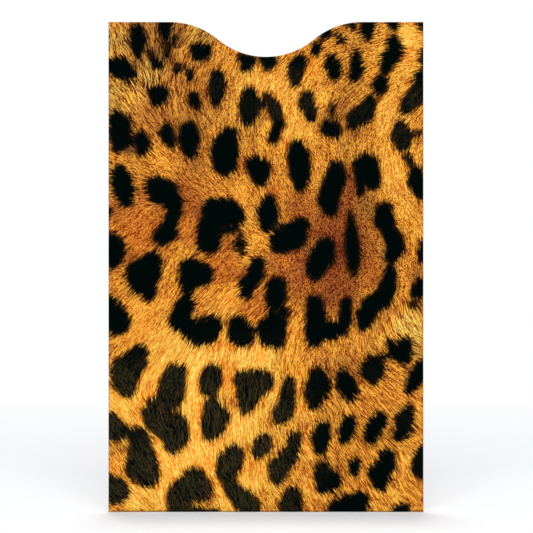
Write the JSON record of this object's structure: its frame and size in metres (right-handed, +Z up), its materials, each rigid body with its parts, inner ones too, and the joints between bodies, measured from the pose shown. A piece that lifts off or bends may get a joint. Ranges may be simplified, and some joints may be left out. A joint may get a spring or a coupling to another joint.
{
  "type": "card sleeve",
  "caption": "Slim upright pocket of folded printed card with a foil shield layer inside, open at the top behind a curved thumb notch; holds a bank card and screens its chip.",
  "frame": {"origin": "middle of the underside of the bottom fold, half way through the sleeve's thickness", "axes": "+X to the right across the front face, +Y through the sleeve from the front face to the back, +Z up from the bottom fold to the open mouth"},
  "size_m": [0.058, 0.002, 0.0902],
  "materials": {
    "printed_card": "satin",
    "shield_foil": "satin",
    "liner_paper": "matte",
    "glue": "matte"
  },
  "bodies": {
    "root": {"front_panel_print": "printed_card", "front_panel_foil": "shield_foil", "front_panel_liner": "liner_paper", "back_panel_print": "printed_card", "back_panel_foil": "shield_foil", "back_panel_liner": "liner_paper", "bottom_fold_print": "printed_card", "bottom_fold_foil": "shield_foil", "bottom_fold_liner": "liner_paper", "left_fold_print": "printed_card", "left_fold_foil": "shield_foil", "left_fold_liner": "liner_paper", "right_fold_print": "printed_card", "right_fold_foil": "shield_foil", "right_fold_liner": "liner_paper", "left_flap_print": "printed_card", "left_flap_foil": "shield_foil", "left_flap_liner": "liner_paper", "right_flap_print": "printed_card", "right_flap_foil": "shield_foil", "right_flap_liner": "liner_paper", "left_glue_strip": "glue", "right_glue_strip": "glue"}
  },
  "joints": []
}
